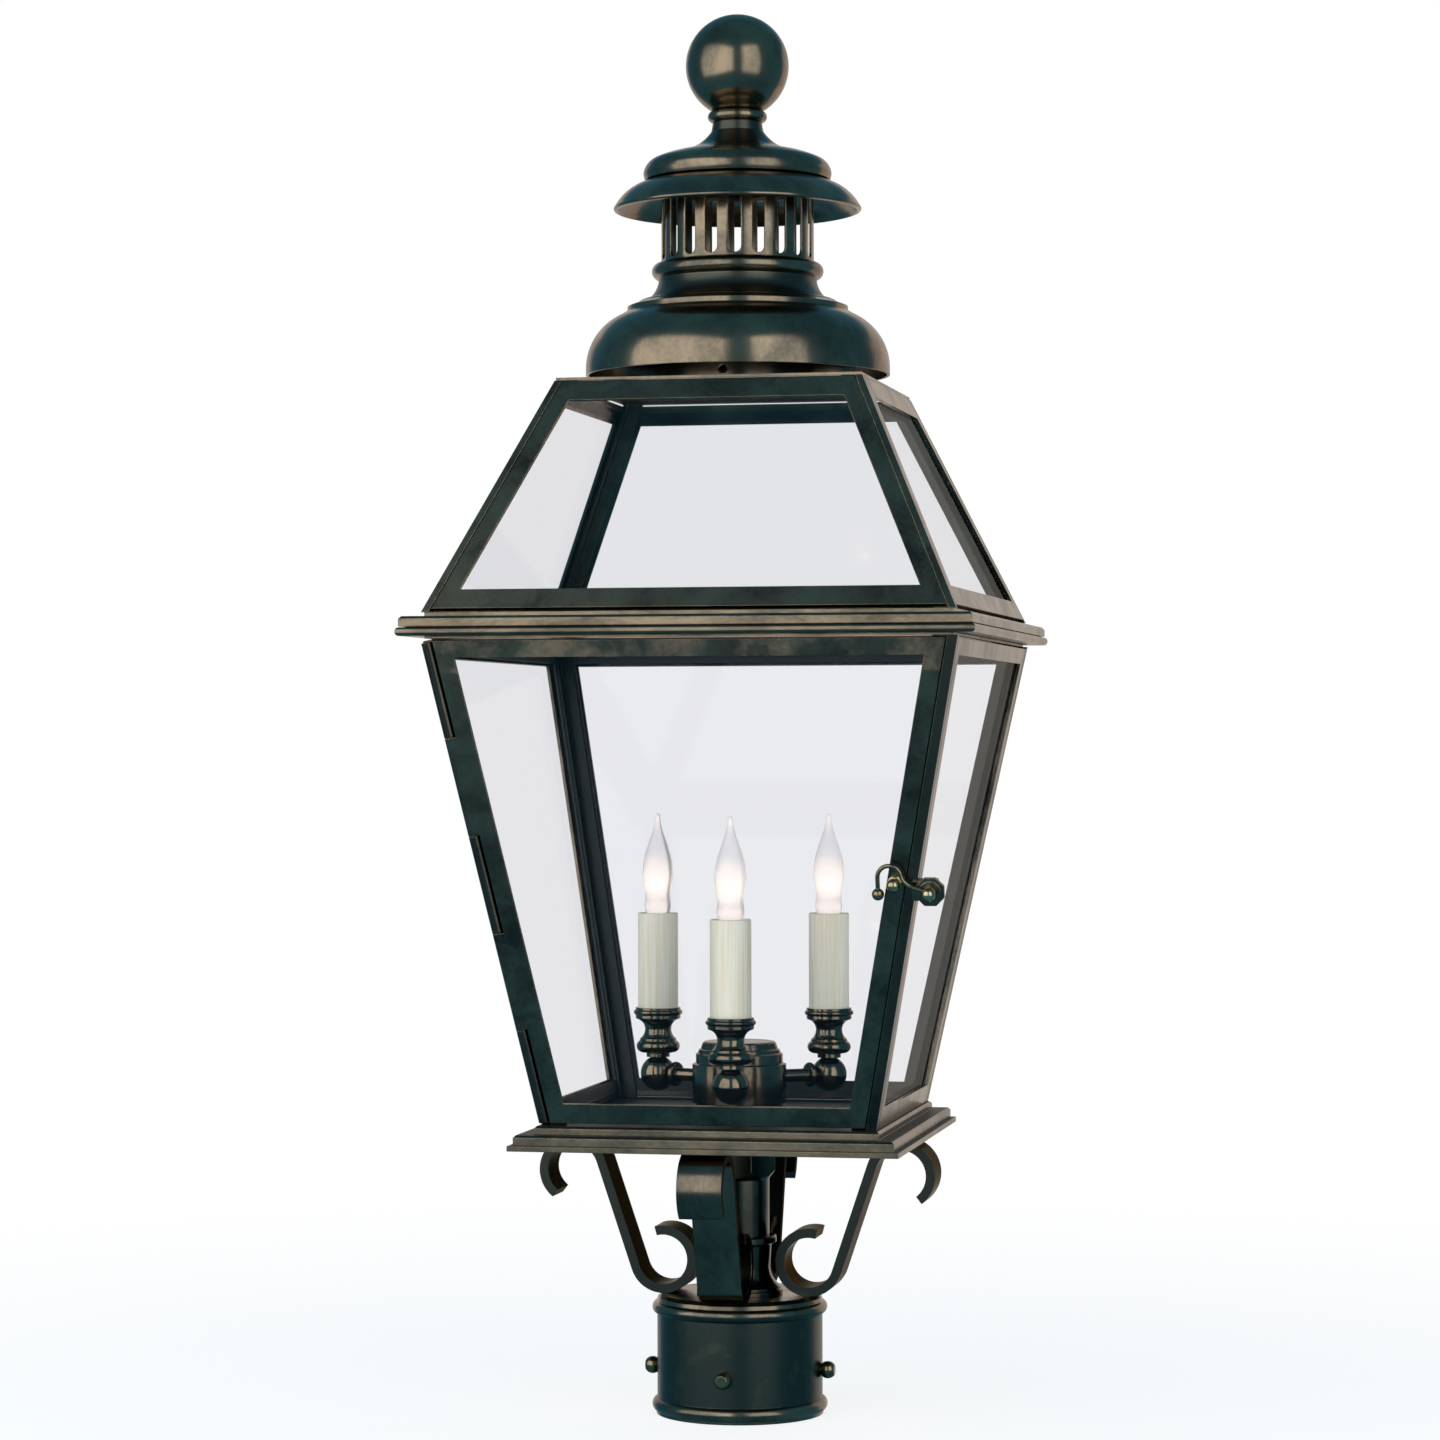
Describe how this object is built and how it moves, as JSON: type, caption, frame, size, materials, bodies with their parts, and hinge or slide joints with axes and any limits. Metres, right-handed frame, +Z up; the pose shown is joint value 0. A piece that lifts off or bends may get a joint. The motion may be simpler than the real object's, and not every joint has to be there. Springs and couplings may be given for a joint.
{
  "type": "post-top street lantern",
  "caption": "Square tapering glazed lantern for a post top, with a hinged and hooked front door, a vented crown with a ball finial, and a cluster of candle lamps inside.",
  "frame": {"origin": "centre of the post socket's open mouth, which is the middle of the object's base", "axes": "+Z up along the stem, the door's side faces -Y, the door's hinge is on the -X side"},
  "size_m": [0.304, 0.304, 0.7667],
  "materials": {
    "bronze": "aged dark bronze, satin",
    "lamp_bronze": "aged dark bronze, semi-gloss",
    "brass": "aged brass",
    "pane_glass": "clear",
    "glazing_bead": "matt",
    "candle_sleeve": "cream, matt",
    "socket": "moulded, matt",
    "bulb_glass": "frosted"
  },
  "bodies": {
    "lantern": {"ball_elbows": "lamp_bronze", "base_pan": "bronze", "base_tray": "bronze", "cabin_frame_back": "bronze", "cabin_frame_left": "bronze", "cabin_frame_right": "bronze", "cabin_glass_back": "pane_glass", "cabin_glass_beads": "glazing_bead", "cabin_glass_left": "pane_glass", "cabin_glass_right": "pane_glass", "candle_cups": "lamp_bronze", "candle_sleeves": "candle_sleeve", "chimney_collar": "bronze", "corner_post_back_left": "bronze", "corner_post_back_right": "bronze", "corner_post_front_left": "bronze", "corner_post_front_right": "bronze", "cornice_band": "bronze", "cornice_cap": "bronze", "dome": "bronze", "finial_ball": "bronze", "finial_bolt": "brass", "finial_collar": "bronze", "hinge_pin": "brass", "lamp_arms": "lamp_bronze", "lamp_hub": "lamp_bronze", "lamp_sockets": "socket", "latch_bracket": "bronze", "latch_pivot_screw": "brass", "lock_nuts": "brass", "post_fitter": "bronze", "roof_frame_back": "bronze", "roof_frame_front": "bronze", "roof_frame_left": "bronze", "roof_frame_right": "bronze", "roof_glass": "pane_glass", "roof_hips": "bronze", "scroll_bracket_back": "bronze", "scroll_bracket_front": "bronze", "scroll_bracket_left": "bronze", "scroll_bracket_right": "bronze", "set_screws": "brass", "stem_base": "bronze", "stem_coupling": "bronze", "stem_tube": "bronze", "vent_brim": "bronze", "vent_cap": "bronze", "vent_neck": "bronze", "vent_sleeve": "bronze", "wiring_tube": "brass"},
    "door": {"door_frame": "bronze", "door_glass": "pane_glass", "door_glass_bead": "glazing_bead", "door_keeper": "brass"},
    "hook": {"latch_hook": "brass"},
    "bulb_a": {"bulb_1": "bulb_glass"},
    "bulb_b": {"bulb_2": "bulb_glass"},
    "bulb_c": {"bulb_3": "bulb_glass"}
  },
  "joints": [
    {"name": "door_hinge", "type": "hinge", "parent": "lantern", "child": "door", "pos_m": [-0.08775, -0.08775, 0.1635], "axis": [0.1905, 0.1905, -0.963], "range_deg": [0, 95]},
    {"name": "hook_pivot", "type": "hinge", "parent": "lantern", "child": "hook", "pos_m": [0.124, -0.1218, 0.28953], "axis": [0, 0.981, 0.1941], "range_deg": [0, 100]},
    {"name": "bulb_a_lift", "type": "slide", "parent": "lantern", "child": "bulb_a", "axis": [0, 0, 1], "range_m": [0, 0.026]},
    {"name": "bulb_b_lift", "type": "slide", "parent": "lantern", "child": "bulb_b", "axis": [0, 0, 1], "range_m": [0, 0.026]},
    {"name": "bulb_c_lift", "type": "slide", "parent": "lantern", "child": "bulb_c", "axis": [0, 0, 1], "range_m": [0, 0.026]}
  ]
}
